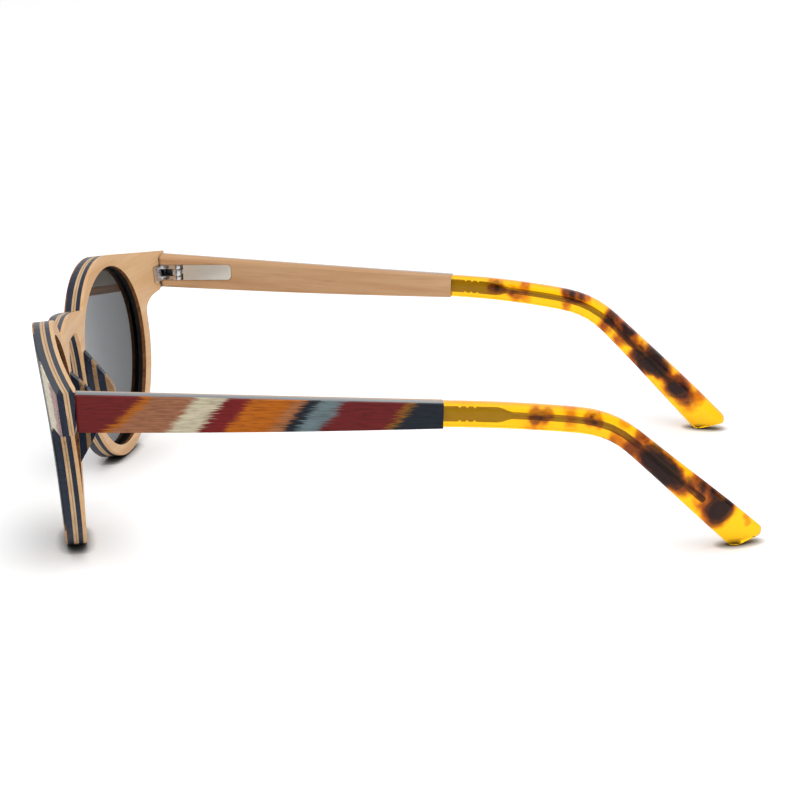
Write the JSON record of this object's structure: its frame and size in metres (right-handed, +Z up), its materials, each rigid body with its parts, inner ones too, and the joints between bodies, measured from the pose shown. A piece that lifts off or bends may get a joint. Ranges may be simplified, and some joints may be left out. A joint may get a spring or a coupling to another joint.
{
  "type": "wooden sunglasses",
  "caption": "Sunglasses with a bent wood laminate front, smoke lenses, striped laminate temples on sprung hinges and bent acetate tips over core wires.",
  "frame": {"origin": "middle of the plan at the level the sunglasses stand on, under the rims and the ends of the tips", "axes": "+X the wearer's left, +Y back along the temples, +Z up"},
  "size_m": [0.1368, 0.1525, 0.0477],
  "materials": {
    "striped_veneer": "satin lacquer over dyed diagonal stripes",
    "navy_wood": "satin, dyed navy",
    "maple": "satin lacquer",
    "smoke_lens": "polished, smoke tint",
    "hinge_metal": "polished nickel silver",
    "spring_steel": "drawn",
    "acetate": "polished tortoise"
  },
  "bodies": {
    "front_frame": {"face_veneer": "striped_veneer", "outer_navy_ply": "navy_wood", "core_maple_ply": "maple", "inner_navy_ply": "navy_wood", "back_maple_ply": "maple", "left_lens": "smoke_lens", "right_lens": "smoke_lens", "left_pad_base_navy": "navy_wood", "left_pad_base_maple": "maple", "left_pad_top_navy": "navy_wood", "left_pad_top_maple": "maple", "right_pad_base_navy": "navy_wood", "right_pad_base_maple": "maple", "right_pad_top_navy": "navy_wood", "right_pad_top_maple": "maple", "left_front_leaf": "hinge_metal", "right_front_leaf": "hinge_metal", "left_pivot_screw": "hinge_metal", "right_pivot_screw": "hinge_metal"},
    "left_slider": {"left_plunger": "hinge_metal", "left_coil_spring": "spring_steel", "left_spring_stop": "hinge_metal"},
    "left_arm": {"left_hinge_housing": "hinge_metal", "left_temple_veneer": "striped_veneer", "left_temple_navy": "navy_wood", "left_temple_maple": "maple", "left_core_wire": "spring_steel", "left_tip": "acetate"},
    "right_slider": {"right_plunger": "hinge_metal", "right_coil_spring": "spring_steel", "right_spring_stop": "hinge_metal"},
    "right_arm": {"right_hinge_housing": "hinge_metal", "right_temple_veneer": "striped_veneer", "right_temple_navy": "navy_wood", "right_temple_maple": "maple", "right_core_wire": "spring_steel", "right_tip": "acetate"}
  },
  "joints": [
    {"name": "left_fold", "type": "hinge", "parent": "front_frame", "child": "left_slider", "pos_m": [0.06453, -0.05591, 0.03715], "axis": [0, 0, 1], "range_deg": [-8, 83]},
    {"name": "left_spring", "type": "slide", "parent": "left_slider", "child": "left_arm", "axis": [-0.1011, 0.9949, 0], "range_m": [0, 0.0006], "stiffness_N_per_m": 1400},
    {"name": "right_fold", "type": "hinge", "parent": "front_frame", "child": "right_slider", "pos_m": [-0.06453, -0.05591, 0.03715], "axis": [0, 0, -1], "range_deg": [-8, 72]},
    {"name": "right_spring", "type": "slide", "parent": "right_slider", "child": "right_arm", "axis": [0.1011, 0.9949, 0], "range_m": [0, 0.0006], "stiffness_N_per_m": 1400}
  ]
}
